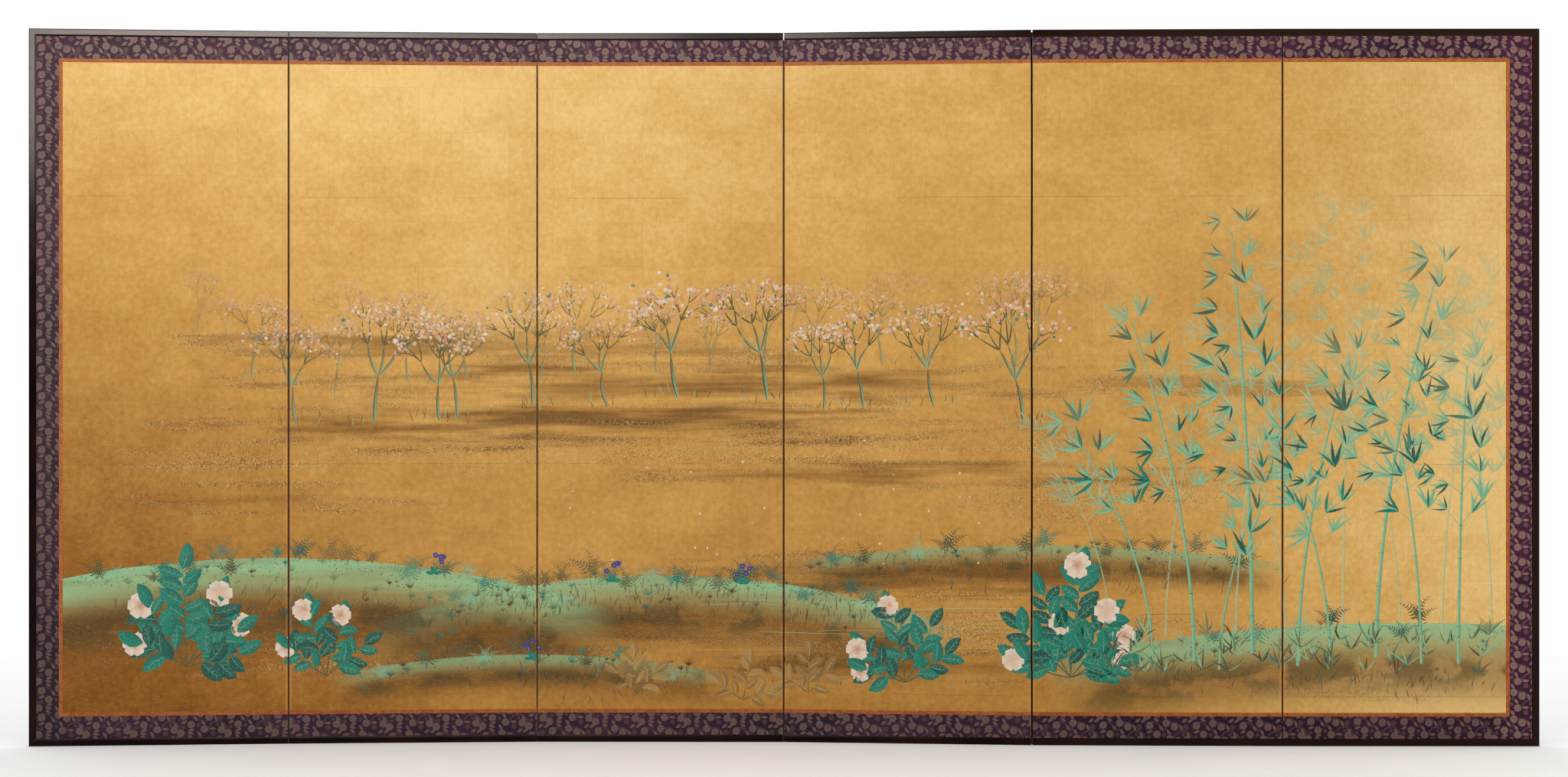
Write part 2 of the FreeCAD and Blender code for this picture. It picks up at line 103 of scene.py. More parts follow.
class Wire:
    """One socket of a material's tree. Sums on it add Math nodes."""

    def __init__(self, tree, socket=None):
        self.tree, self.socket = tree, socket

    def node(self, kind, settings=None, values=None, out=0):
        """Adds a node, makes its settings first, then fills or links its sockets."""
        made = self.tree.nodes.new("ShaderNode" + kind)
        for name, setting in (settings or {}).items():
            if name == "stops":
                stops = made.color_ramp.elements
                for place, colour in setting[2:]:
                    stops.new(place)
                for stop, (place, colour) in zip(stops, setting):
                    stop.position, stop.color = place, colour
            else:
                setattr(made, name, setting)
        for key, value in (values or {}).items():
            if isinstance(value, Wire):
                self.tree.links.new(value.socket, made.inputs[key])
            else:
                made.inputs[key].default_value = value
        return Wire(self.tree, made.outputs[out])

    def beside(self, name):
        """Another output of the same node."""
        return Wire(self.tree, self.socket.node.outputs[name])

    def maths(self, operation, *others):
        return self.node("Math", {"operation": operation}, dict(enumerate((self, *others))))

    __add__ = __radd__ = sum_by("ADD")
    __mul__ = __rmul__ = sum_by("MULTIPLY")
    __sub__, __truediv__ = sum_by("SUBTRACT"), sum_by("DIVIDE")
    __pow__, __abs__ = sum_by("POWER"), sum_by("ABSOLUTE")
    over = sum_by("MAXIMUM")

    def __rsub__(self, other):
        return self.node("Math", {"operation": "SUBTRACT"}, {0: other, 1: self})

    def rise(self, low, high):
        """0 below low, 1 above high, and a smooth slope between."""
        return self.node("MapRange", {"interpolation_type": "SMOOTHSTEP"},
                         {"Value": self, "From Min": low, "From Max": high})

    def fall(self, low, high):
        """1 below low, 0 above high, and a smooth slope between."""
        return 1 - self.rise(low, high)


def ink(red, green, blue):
    """A colour from the three numbers of a paint chart, 0 to 255."""
    parts = [v / 255 for v in (red, green, blue)]
    return (*((v / 12.92 if v <= 0.04045 else ((v + 0.055) / 1.055) ** 2.4) for v in parts), 1)


def stain(under, over, share):
    """One colour covered by another, by a share from 0 to 1."""
    start = next(w for w in (under, over, share) if isinstance(w, Wire))
    return start.node("Mix", {"data_type": "RGBA"}, {0: share, 6: under, 7: over}, out=2)


def layered(ground, *layers):
    """The ground under several colours, each laid over the one before by its share."""
    for colour, share in layers:
        ground = stain(ground, colour, share)
    return ground


def strongest(masks):
    """The largest of several masks at each point."""
    return reduce(Wire.over, masks)


def speckle(place, scale, stretch=(1, 1, 1), detail=2):
    """Noise from 0 to 1, finer as scale grows, drawn out where stretch is small."""
    moved = place.node("Mapping", values={"Vector": place, "Scale": stretch})
    return place.node("TexNoise", values={"Vector": moved, "Scale": scale, "Detail": detail})


def across_and_up(place):
    return [place.node("SeparateXYZ", values={0: place}, out=axis) for axis in ("X", "Z")]


def blank_finish(name):
    """A new material, and a Wire with the place of each point that wears it."""
    finish = bpy.data.materials.new(name)
    finish.use_nodes = True
    return finish, Wire(finish.node_tree).node("TexCoord", out="Object")


def coat(finish, colour, roughness, shine=0.5, relief=None, depth=0, **others):
    """Fills or links the sockets of the finish's shader. relief is raised by depth in mm."""
    sockets = {"Base Color": colour, "Roughness": roughness, "Specular IOR Level": shine, **others}
    if relief:
        sockets["Normal"] = relief.node("Bump", values={"Height": relief, "Distance": depth * MM})
    shader = finish.node_tree.nodes["Principled BSDF"]
    for name, value in sockets.items():
        if isinstance(value, Wire):
            finish.node_tree.links.new(value.socket, shader.inputs[name])
        else:
            shader.inputs[name].default_value = value


def dress(finish, *nodes):
    """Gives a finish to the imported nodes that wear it."""
    for node in nodes:
        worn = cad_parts[node].data.materials
        worn.clear()
        worn.append(finish)
    print(finish.name, "is worn by", len(nodes), "nodes")


def of_panels(*parts):
    return [f"panel_{k}_{part}" for k in PANELS for part in parts]


# %% [markdown]
# ## The studio
#
# A pale floor and white surroundings light the screen evenly. A black cloth hangs behind
# the camera, so that the lacquer doesn't mirror the white studio. Three softboxes stand
# high on the left, each dimmer than the one before. Only shine comes from them: the upper
# left of the frame mirrors them, and the gold there gleams a little.

# %% Floor, surroundings, black cloth and softboxes
FLOOR_SIZE = 60
CLOTH_PLACE, CLOTH_SIZE = (0.6, -11.5, 2.6), (9, 5.4)
# Each softbox: its middle along the screen, its width and its power.
SOFTBOXES = ((-1.5, 1.2, 208), (-0.68, 0.44, 44), (-0.22, 0.48, 9))
SOFTBOX_AWAY, SOFTBOX_LOW, SOFTBOX_HIGH = -3, 1.64, 2.40


def stage_sheet(name, **placing):
    bpy.ops.mesh.primitive_plane_add(**placing)
    sheet = bpy.context.object
    sheet.name = name
    return sheet


floor = stage_sheet("studio_floor", size=FLOOR_SIZE)
floor_paint, place = blank_finish("pale_floor")
scuffs = speckle(place, 3, detail=3).rise(0.3, 0.7)
coat(floor_paint, stain(ink(255, 255, 255), ink(252, 252, 252), scuffs), 0.9, 0)
floor.data.materials.append(floor_paint)

surroundings = bpy.data.worlds.new("white_studio")
surroundings.use_nodes = True
white = surroundings.node_tree.nodes["Background"]
white.inputs["Color"].default_value = (1, 1, 1, 1)
white.inputs["Strength"].default_value = 1.04
scene.world = surroundings
scene.view_settings.view_transform = "Standard"

cloth_behind = stage_sheet("black_cloth", size=1, location=CLOTH_PLACE,
                           rotation=(-math.pi / 2, 0, 0))
cloth_behind.scale = (*CLOTH_SIZE, 1)
black, place = blank_finish("black_cloth")
nap = speckle(place, 40, detail=3)
coat(black, stain(ink(10, 9, 9), ink(18, 16, 16), nap), 0.95, 0.1)
cloth_behind.data.materials.append(black)
cloth_behind.visible_camera = False
cloth_behind.select_set(False)

for middle, width, power in SOFTBOXES:
    lamp = bpy.data.lights.new("high_left_softbox", "AREA")
    lamp.shape = "RECTANGLE"
    lamp.size, lamp.size_y = width, SOFTBOX_HIGH - SOFTBOX_LOW
    lamp.energy, lamp.color = power, (1, 0.87, 0.8)
    holder = bpy.data.objects.new("high_left_softbox", lamp)
    holder.location = (middle, SOFTBOX_AWAY, (SOFTBOX_LOW + SOFTBOX_HIGH) / 2)
    holder.rotation_euler = (math.pi / 2, 0, 0)
    holder.visible_diffuse = holder.visible_camera = False
    scene.collection.objects.link(holder)
print("The studio has", len(SOFTBOXES), "softboxes and a floor of", FLOOR_SIZE, "m")

# %% [markdown]
# ## Lacquer
#
# The rails and stiles wear a dark brown lacquer, rubbed to a satin, with fine brush marks
# along it. Towards the right it is lighter, most of all near the top. At the mitres and on
# the rails' ends it has worn through to a rusty brown, which a mask finds by its distance
# from the corners.

# %% The lacquer
FRAME_FACE = 18 * MM
HEIGHT = 1742 * MM
HALF_LENGTH = packed_box[1][0]
CORNERS = [(side * HALF_LENGTH, z, side, up) for side in (-1, 1)
           for z, up in ((0, 1), (HEIGHT, -1))]

lacquer, place = blank_finish("brown_lacquer")
x, z = across_and_up(place)
patina = speckle(place, 5, detail=4)
brush = speckle(place, 300, (0.04, 1, 0.3))
chips = speckle(place, 90, detail=4)
brown = stain(ink(16, 5, 3), ink(33, 15, 10), patina.rise(0.35, 0.7))
brown = stain(brown, ink(48, 30, 24), x.rise(0.5, 0.8) * (z / HEIGHT * 0.6 + 0.3))


def mitre(x, z, corner_x, corner_z, side, up):
    """A line along one mitre."""
    along, rising = (corner_x - x) * side, (z - corner_z) * up
    return abs(along - rising).fall(0.25 * MM, 0.9 * MM) * rising.fall(FRAME_FACE, 19 * MM)


worn = strongest(mitre(x, z, *corner) for corner in CORNERS) * chips.rise(0.4, 0.6)
ends = abs(x).rise(HALF_LENGTH - 1.6 * MM, HALF_LENGTH - 0.6 * MM) * chips.rise(0.6, 0.66)
brown = stain(brown, ink(122, 62, 30), worn.over(ends) * 0.8)
coat(lacquer, brown, brush * 0.08 + patina * 0.08 + 0.09, 0.06, brush, 0.03)
dress(lacquer, "left_stile", "right_stile", *of_panels("top_rail", "bottom_rail"))

# %% [markdown]
# ## Brocade
#
# The wide border is a figured silk: flowers, leaves, tendrils and arches of double vine,
# in taupe on aubergine. It is one repeat of 113 by 65 mm over and over, so the pattern is
# arithmetic: each motif asks how far a point lies from its centre, with the distance
# wrapped round the repeat. Each panel's cloth was cut at another place.

# %% One repeat of the brocade, in millimetres
REPEAT = (113, 65)
FLOWERS = ((21, 36), (61, 42), (81, 33), (38, 15), (70, 4), (111, 2), (14, 59))
LEAVES = ((105, 48, 35), (6, 48, 35), (37, 50, -35), (49, 30, -55), (67, 20, -55), (21, 21, 22),
          (97, 31, -65), (90, 5, 0), (1, 13, -60), (39, 2, 15), (37, 59, -14), (58, 57, -55))
TENDRILS = ((108, 32, 7), (56, 13, 5), (20, 8, 5), (90, 59, 6.5), (102, 14, 4.5))
VINES = ((102, 1, 22), (78, 23, 20), (30, 27, 17))
FLOWER_RADIUS, PETALS = 9.8, 8
LEAF_HALF, LEAF_WIDE = 8.6, 3.7
CUT_START, CUT_STEP = (14, 31), (62, 11)
LEFT_END, PITCH = 1.8165, 0.6052


def cloth_place(place):
    """Millimetres across and up the cloth, cut at another place for each strip."""
    x, z = across_and_up(place)
    panel = ((x + LEFT_END) / PITCH).maths("FLOOR")
    return (x * 1000 + panel * CUT_STEP[0] + CUT_START[0],
            z * 1000 - panel * CUT_STEP[1] + CUT_START[1])


def from_centre(cloth, middle):
    """How far across and up the nearest repeat of a motif's middle lies."""
    return [(way - start).maths("WRAP", repeat / 2, -repeat / 2)
            for way, start, repeat in zip(cloth, middle, REPEAT)]


def length_of(across, up):
    return (across * across + up * up) ** 0.5


def flower(cloth, middle, turn):
    """Eight round petals, parted by dark lines, about a ringed eye."""
    across, up = from_centre(cloth, middle)
    far = length_of(across, up)
    angle = up.maths("ARCTAN2", across)
    lobes = abs((angle * (PETALS / 2) + turn).maths("COSINE"))
    body = (lobes * 1.5 + (FLOWER_RADIUS - 1.5) - far).rise(0, 0.7)
    parting = lobes.fall(0.1, 0.45) * far.rise(2.6, 3.4) * 0.55
    eye = abs(far - 2.4).fall(0.2, 0.7) * 0.6
    return body * (1 - parting.over(eye))


def leaf(cloth, middle, degrees):
    """A pointed leaf with a dark vein."""
    across, up = from_centre(cloth, middle)
    cosine, sine = math.cos(math.radians(degrees)), math.sin(math.radians(degrees))
    along = across * cosine + up * sine
    aside = abs(up * cosine - across * sine)
    body = (LEAF_WIDE - along * along * (LEAF_WIDE / LEAF_HALF ** 2) - aside).rise(0, 0.7)
    return body * (1 - aside.fall(0.1, 0.6) * 0.5)


def tendril(cloth, middle, radius):
    """A curl that winds in to its middle."""
    across, up = from_centre(cloth, middle)
    far = length_of(across, up)
    wound = (far - up.maths("ARCTAN2", across) * (3 / math.tau)).maths("WRAP", 1.5, -1.5)
    return abs(wound).fall(0.35, 0.9) * far.fall(radius - 0.4, radius) * 0.8


def vine(cloth, middle, radius):
    """An arch of two thin stems."""
    across, up = from_centre(cloth, middle)
    pair = abs(abs(length_of(across, up) - radius) - 1.4)
    return pair.fall(0.3, 0.8) * up.rise(-4, 2) * 0.65


print("one repeat has", len(FLOWERS), "flowers and", len(LEAVES), "leaves")

# %% The brocade
brocade, place = blank_finish("floral_brocade")
cloth = cloth_place(place)
turned = [(*middle, number * 0.7) for number, middle in enumerate(FLOWERS)]
figures = strongest(
    motif(cloth, (across, up), form)
    for motif, group in ((vine, VINES), (tendril, TENDRILS), (leaf, LEAVES), (flower, turned))
    for across, up, form in group)
threads = speckle(place, 900, (1, 1, 0.25), detail=1)
fading = speckle(place, 6, detail=3)
x, z = across_and_up(place)
# Painted light: the brocade is painted lighter towards the top and on the right end strip, and
# darker on the left end strip.
painted_light = z / HEIGHT * 0.7 + x.rise(1.7, 1.76) * 0.6 - x.fall(-1.76, -1.7) * 0.25 + 0.13
aubergine = stain(ink(26, 11, 29), ink(71, 28, 56), fading.rise(0.35, 0.65) * 0.4 + painted_light * 0.6)
taupe = stain(ink(104, 80, 74), ink(150, 116, 104), painted_light)
silk = stain(aubergine, taupe, figures * (threads * 0.3 + 0.8))
silk = stain(silk, ink(20, 12, 26), threads.rise(0.45, 0.7) * 0.25)
coat(brocade, silk, 0.66 - figures * 0.08, 0.12, figures * 0.6 + threads * 0.4, 0.12)
dress(brocade, *of_panels("brocade"))

# %% [markdown]
# ## The narrow border
#
# Inside the brocade runs a strip of orange silk with a small rust-brown scroll. At nine
# millimetres only its curls can be told, so warped rings of noise stand for them.

# %% The narrow border
border_silk, place = blank_finish("orange_border_silk")
drift = place.node("TexNoise", values={"Vector": place, "Scale": 120}, out="Color")
warped = place.node("VectorMath", {"operation": "MULTIPLY_ADD"},
                    {0: drift, 1: (0.012,) * 3, 2: place})
curls = warped.node("TexVoronoi", {"feature": "SMOOTH_F1"},
                    {"Vector": warped, "Scale": 130, "Smoothness": 0.3})
scroll = abs((curls * 30).maths("SINE")).rise(0.25, 0.85)
threads = speckle(place, 900, (1, 1, 0.3), detail=1)
orange = stain(ink(200, 118, 46), ink(230, 152, 74), threads.rise(0.3, 0.7))
rust = stain(ink(124, 50, 20), ink(164, 78, 32), threads)
strip = stain(orange, rust, scroll * 0.85)
z = across_and_up(place)[1]
worn = speckle(place, 60, detail=4).rise(0.45, 0.6)
strip = stain(strip, ink(134, 50, 18), worn * 0.35 + z.fall(0, 0.9) * 0.3)
coat(border_silk, strip, 0.6, 0.12, scroll, 0.08)
dress(border_silk, *of_panels("inner_border"))

# %% [markdown]
# ## Papers and bare wood
#
# The hinge strips are dyed paper, maroon beside the gold and nearly black beside the
# brocade; the maroon is made darker than the dye alone, as painted shade in the gaps between
# the panels. The layers under them are pale and show at the panels' edges. The back's paper
# is block-printed with small diamond flowers. The lattice inside is plain cedar. Noise
# that is drawn out along one way gives each its fibres or its rings.

# %% Hinge paper and the layers under it
hinge_paper_with_shade, place = blank_finish("hinge_paper_dye_and_gap_shade")
z = across_and_up(place)[1]
fibres = speckle(place, 260, (1, 1, 0.12), detail=3)
by_brocade = z.fall(74 * MM, 84 * MM).over(z.rise(1658 * MM, 1668 * MM))
# Dark maroon: the paper's dye, darkened further as painted shade of the seam gaps.
maroon = stain(ink(46, 16, 10), ink(82, 36, 22), fibres.rise(0.4, 0.75))
dye_with_gap_shade = stain(maroon, ink(14, 9, 12), by_brocade)
coat(hinge_paper_with_shade, dye_with_gap_shade, 0.8, 0.2, fibres, 0.05)
dress(hinge_paper_with_shade, *of_panels("hinge_papers"))

under_paper, place = blank_finish("layered_paper")
fibres = speckle(place, 200, (1, 1, 0.15), detail=4)
age = speckle(place, 12, detail=3)
pale = stain(ink(184, 154, 108), ink(142, 106, 66), age.rise(0.4, 0.7))
pale = stain(pale, ink(120, 88, 54), fibres.rise(0.55, 0.75) * 0.5)
coat(under_paper, pale, 0.9, 0.2, fibres, 0.05)
dress(under_paper, *of_panels("under_paper"))

# %% Back paper and cedar
DIAMOND = (46, 58)

back_paper, place = blank_finish("printed_back_paper")
x, z = across_and_up(place)
lattice = []
for half in (0, 0.5):
    across, up = ((way * 1000 + half * size).maths("WRAP", size / 2, -size / 2)
                  for way, size in zip((x, z), DIAMOND))
    away = abs(across) / (DIAMOND[0] / 2) + abs(up) / (DIAMOND[1] / 2)
    far = length_of(across, up)
    petals = abs((up.maths("ARCTAN2", across) * 2).maths("COSINE"))
    blossom = (petals * 6.5 + 2.4 - far).rise(0, 0.7) * (1 - abs(far - 2.2).fall(0.2, 0.7))
    rim = abs(away - 0.86).fall(0.012, 0.035)
    lattice += [blossom, rim]
printed = strongest(lattice)
wear = speckle(place, 5, detail=6)
fibres = speckle(place, 220, (1, 1, 0.2), detail=3)
sheet = layered(ink(104, 98, 78), (ink(120, 110, 86), wear.rise(0.35, 0.65)),
                (ink(166, 154, 120), printed * (wear.rise(0.3, 0.7) * 0.2 + 0.5)),
                (ink(70, 62, 48), fibres.rise(0.6, 0.75) * 0.35))
coat(back_paper, sheet, 0.82 - printed * 0.2, 0.3, fibres + printed * 0.3, 0.05)
dress(back_paper, *of_panels("back_cover"))

cedar, place = blank_finish("bare_cedar")
rings = speckle(place, 60, (1, 1, 0.06), detail=4)
wood = stain(ink(206, 160, 112), ink(160, 108, 66), rings.rise(0.4, 0.65))
coat(cedar, wood, 0.75, relief=rings, depth=0.1)
dress(cedar, *of_panels("lattice_core"))

# %% [markdown]
# ## The gold ground
#
# The silk is covered with squares of gold leaf, which dull to a brownish gold downwards,
# most of all on the left. This darkening is partly the gold's own tone and partly painted
# shade, and the brighter top and upper left are partly painted light. Thin washes of brown
# lie over it like mist, with sprinkled gold at their edges. Low banks of pale green end in a
# crisp crest and melt away downwards. Beside each seam the gold carries a painted highlight,
# strongest low down, and a painted shade right at the gap. One function mixes the ground,
# because the strokes need it too where they fade into it.

# %% Banks, washes and tones of the ground
LEAF_SQUARE = 109.6 * MM
PICTURE_LOW, PICTURE_HIGH = 81 * MM, 1661 * MM
PICTURE_HALF = 1.753

# Each bank: the middle of its crest, its half length, its top, how far the crest drops
# at the ends, how deep its green reaches, and how strong it is.
BANKS = ((0.62, 0.62, 0.486, 0.045, 0.05, 0.5), (-0.3, 0.74, 0.41, 0.13, 0.1, 0.85),
         (-1.25, 0.86, 0.455, 0.14, 0.13, 0.9), (1.52, 0.92, 0.3, 0.1, 0.11, 0.8),
         (-0.62, 0.5, 0.215, 0.05, 0.05, 0.55))
# Each wash of brown, and each drift of sprinkled gold: its middle, its reach to each side
# and up, and its strength.
WASHES = ((-0.75, 0.975, 0.8, 0.05, 0.7), (-0.25, 0.88, 1.1, 0.07, 0.85),
          (-0.55, 0.78, 1.05, 0.075, 0.95), (0.4, 0.66, 0.75, 0.045, 0.75),
          (1.05, 0.88, 0.45, 0.045, 0.5), (-1.3, 0.6, 0.45, 0.045, 0.5),
          (0.25, 0.41, 0.8, 0.06, 0.8), (-0.8, 0.285, 0.9, 0.08, 0.8),
          (0.85, 0.2, 0.45, 0.05, 0.5), (0.2, 0.19, 0.7, 0.05, 0.85))
DRIFTS = ((0.35, 0.27, 0.8, 0.075, 1), (-0.85, 0.205, 0.75, 0.07, 1),
          (1.3, 0.15, 0.42, 0.05, 1), (-0.25, 0.725, 1.1, 0.07, 1),
          (0.75, 0.6, 0.5, 0.07, 1), (-1.35, 0.7, 0.35, 0.08, 1))
SHEET_JOINS = (1.336, 0.684, 0.12)
# The tone of the gold, from 0 to 1, at places from left to right along the screen, at the
# bottom (LOW) and the top (HIGH) of the picture. Their difference, and the bright upper
# left, are partly painted light and shade.
LOW_TONES = ((0.03, 0.05), (0.29, 0.45), (0.52, 0.45), (0.68, 0.45), (0.88, 0.84), (0.99, 1))
HIGH_TONES = ((0.03, 0.91), (0.29, 0.98), (0.56, 0.84), (0.8, 0.71), (0.9, 0.76), (0.99, 0.92))


def edge_of(node, side, face):
    """Where a packed sheet's left (-1) or right (1) edge meets its front (-1) or back (1)."""
    points = np.array([v.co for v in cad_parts[node].data.vertices])
    end = points[:, 0] * side
    close = points[end > end.max() - 0.2 * MM]
    return close[(close[:, 1] * face).argmax()][:2]


ENDS = {k: [edge_of(f"panel_{k}_picture", side, -1) for side in (-1, 1)] for k in PANELS}
SEAMS = [float(ENDS[k][1][0] + ENDS[k + 1][0][0]) / 2 for k in PANELS[:-1]]


def crest(bank, across):
    """The height of a bank's crest, for a number or a Wire."""
    middle, reach, top, drop = bank[:4]
    away = (across - middle) / reach
    return top - away * away * drop


def toned(along, tones):
    return along.node("ValToRGB", {"stops": [(at, (v, v, v, 1)) for at, v in tones]}, {0: along})


def spread(x, z, streaks, areas):
    """How strongly streaky patches cover each point, the strongest of them counting."""
    def patch(middle, up, reach, rise, strength):
        away_x, away_z = (x - middle) / reach, (z - up) / rise
        near = 1 - away_x * away_x - away_z * away_z + (streaks - 0.5) * 3.6
        return near.rise(0, 1.5) * strength

    return strongest(patch(*area) for area in areas)


def gold_ground(place):
    """The colour of the ground at each point, its gloss from 0 to 1, and its weave."""
    x, z = across_and_up(place)
    along = (x + PICTURE_HALF) / (2 * PICTURE_HALF)
    # The tone carries painted light and shade: brighter at the top and upper left, darker
    # downwards.
    low_tone, high_tone = toned(along, LOW_TONES), toned(along, HIGH_TONES)
    tone = low_tone + (high_tone - low_tone) * ((z - PICTURE_LOW) / (PICTURE_HIGH - PICTURE_LOW))
    clouds = speckle(place, 2.6, (0.6, 1, 1.6), detail=5).rise(0.3, 0.7)
    blotches = speckle(place, 13, (0.8, 1, 1.2), detail=6).rise(0.3, 0.7)
    mottle = speckle(place, 75, detail=5)
    tone = tone + (clouds - 0.5) * 0.09 + (blotches - 0.5) * 0.08 + (mottle - 0.5) * 0.34
    square_x, square_z = x / LEAF_SQUARE + 0.17, z / LEAF_SQUARE + 0.35
    square = x.node("CombineXYZ", values={0: square_x.maths("FLOOR"), 1: square_z.maths("FLOOR")})
    lot = x.node("TexWhiteNoise", {"noise_dimensions": "2D"}, {"Vector": square})
    tone = tone + (lot - 0.5) * 0.05 - lot.rise(0.965, 0.97) * 0.07
    gold = tone.node("ValToRGB", {"stops": [
        (0, ink(122, 76, 26)), (0.25, ink(157, 103, 43)), (0.5, ink(191, 140, 68)),
        (0.75, ink(217, 168, 92)), (1, ink(238, 199, 128))]}, {0: tone})
    edges = [abs(v.maths("WRAP", 0.5, -0.5)) for v in (square_x, square_z)]
    overlap = (1 - edges[0].rise(0.003, 0.012)).over(1 - edges[1].rise(0.003, 0.012))
    gold = stain(gold, ink(128, 84, 36), overlap * mottle.rise(0.4, 0.6) * 0.16)

    streaks = speckle(place, 14, (0.25, 1, 3.2), detail=6)
    mist = spread(x, z, streaks, WASHES)
    rim_of_mist = (1 - abs(mist - 0.22) / 0.22) * streaks.rise(0.35, 0.6)
    sand = spread(x, z, streaks, DRIFTS).over(rim_of_mist)
    grains = speckle(place, 340, detail=2)
    brown = stain(ink(128, 80, 34), ink(90, 56, 26), mist)
    ground = layered(gold, (brown, mist * 0.85),
                     (ink(214, 178, 122), sand * grains.rise(0.53, 0.58) * 0.65),
                     (ink(78, 54, 28), sand * grains.fall(0.41, 0.46) * 0.6))

    for bank in BANKS:
        middle, reach, _, _, deep, strength = bank
        depth = crest(bank, x) - z + (streaks - 0.5) * 0.004
        inside = depth.rise(0, 1.5 * MM) * (1 - abs((x - middle) / reach).rise(0.75, 1))
        fade = depth.fall(0.1 * deep, deep) * (streaks.rise(0.25, 0.65) * 0.4 + 0.6)
        green = stain(ink(150, 206, 158), ink(186, 194, 128), depth / deep)
        moss = depth.rise(0.45 * deep, deep) * depth.fall(deep, 1.7 * deep)
        ground = layered(
            ground, (ink(112, 76, 36), inside * depth.fall(deep, 2.2 * deep) * 0.6),
            (green, inside * fade * strength),
            (ink(70, 66, 42), inside * moss * blotches.rise(0.3, 0.75) * 0.6))

    for join in SHEET_JOINS:
        line = abs(z - join + (speckle(place, 1.5) - 0.5) * 0.004).fall(0.4 * MM, 1.2 * MM)
        ground = stain(ground, ink(104, 66, 30), line * streaks.rise(0.45, 0.6) * 0.4)
    threads = speckle(place, 560, (1, 1, 0.14), detail=2)
    wefts = speckle(place, 560, (0.14, 1, 1), detail=2)
    near_seam = abs(x - SEAMS[0])
    for seam in SEAMS[1:]:
        near_seam = near_seam.maths("MINIMUM", abs(x - seam))
    # Painted highlight on the gold beside each seam, strongest low down.
    seam_highlight = near_seam.fall(3 * MM, 10 * MM) * clouds * z.fall(0.1, 1)
    # Painted shade on the gold right at each seam's gap.
    seam_shade = near_seam.fall(2 * MM, 3.2 * MM) * (mottle.rise(0.3, 0.6) * 0.3 + 0.6)
    ground = layered(ground, (ink(104, 62, 26), threads.rise(0.5, 0.75) * 0.15),
                     (ink(248, 214, 148), wefts.rise(0.52, 0.78) * 0.13),
                     (ink(232, 168, 92), seam_highlight * 0.55),
                     (ink(62, 30, 14), seam_shade * (z.rise(0, 0.4) * 0.35 + 0.65)))
    return ground, 1 - mist * 0.6, threads + wefts + mottle


print("the seams lie at", [round(seam, 3) for seam in SEAMS], "m from the middle")

# %% The gold picture sheets
gold_leaf, place = blank_finish("gold_leaf_on_silk")
ground, gloss, weave = gold_ground(place)
coat(gold_leaf, ground, 0.6 - gloss * 0.08, 0.02, weave, 0.06, Metallic=gloss * 0.02)
dress(gold_leaf, *of_panels("picture"))

# %% [markdown]
# ## Brush marks
#
# Such a screen is painted in thick mineral pigments. Each touch of the brush is a small
# flat body of paint with a crisp edge, so each is made as one. The few kinds of mark are
# modelled once, as a strip whose columns are narrowed in edit mode. Every stroke is a
# copy bent along its own line.


# %% Model the brush marks
def pick(test):
    """In edit mode, selects only the vertices whose place passes the test."""
    shape = bmesh.from_edit_mesh(bpy.context.object.data)
    for vertex in shape.verts:
        vertex.select = test(vertex.co)
    shape.select_flush(True)
    shape.select_flush(False)
    bmesh.update_edit_mesh(bpy.context.object.data)


class Mark:
    """A mark's points, from 0 to 1 along and -0.5 to 0.5 across, and its faces."""

    def __init__(self, name, widths, rows=1):
        columns = len(widths) - 1
        bpy.ops.mesh.primitive_grid_add(x_subdivisions=columns, y_subdivisions=rows, size=1,
                                        location=(0.5, 0, 0))
        bpy.ops.object.transform_apply()
        bpy.ops.object.mode_set(mode="EDIT")
        bpy.ops.mesh.select_mode(type="VERT")
        for column, width in enumerate(widths):
            pick(lambda at: abs(at.x - column / columns) < 0.2 / columns)
            bpy.ops.transform.resize(value=(1, max(width, 0.02), 1),
                                     center_override=(column / columns, 0, 0))
        bpy.ops.object.mode_set(mode="OBJECT")
        made = bpy.context.object
        self.points = np.array([v.co for v in made.data.vertices])[:, :2]
        self.faces = [tuple(f.vertices) for f in made.data.polygons]
        bpy.data.objects.remove(made)
        print("brush mark", name, "has", len(self.faces), "faces")


LINE = Mark("line", (0.5, 1, 1, 0.9, 0.8, 0.6, 0.15))
BLADE = Mark("blade", (0.1, 0.85, 1, 0.75, 0.4, 0))
OVAL = Mark("oval", (0.15, 0.8, 1, 0.95, 0.72, 0.1), rows=2)
CULM = Mark("culm", (1.12, 0.96, 0.94, 0.96, 1.12))
PETAL = Mark("petal", (0.3, 0.85, 1, 0.7))
DAB = Mark("dab", (0.45, 1, 0.95, 0.4))

# %% [markdown]
# ## Laying strokes
#
# The painting runs over all six sheets as if they were unfolded. Each stroke lies a little
# higher or lower than its neighbours, and keeps its colours in an attribute, with how
# strongly it covers the gold as the fourth number.

# %% A store of strokes
LOWEST_LIFT, LIFT_STEP, STEPS, LEVEL_STEP = 0.04 * MM, 0.003 * MM, 20, 0.06 * MM
PAINT_THICKNESS = 0.44 * MM


def darker(colour, share):
    return tuple(v * share for v in colour[:3])


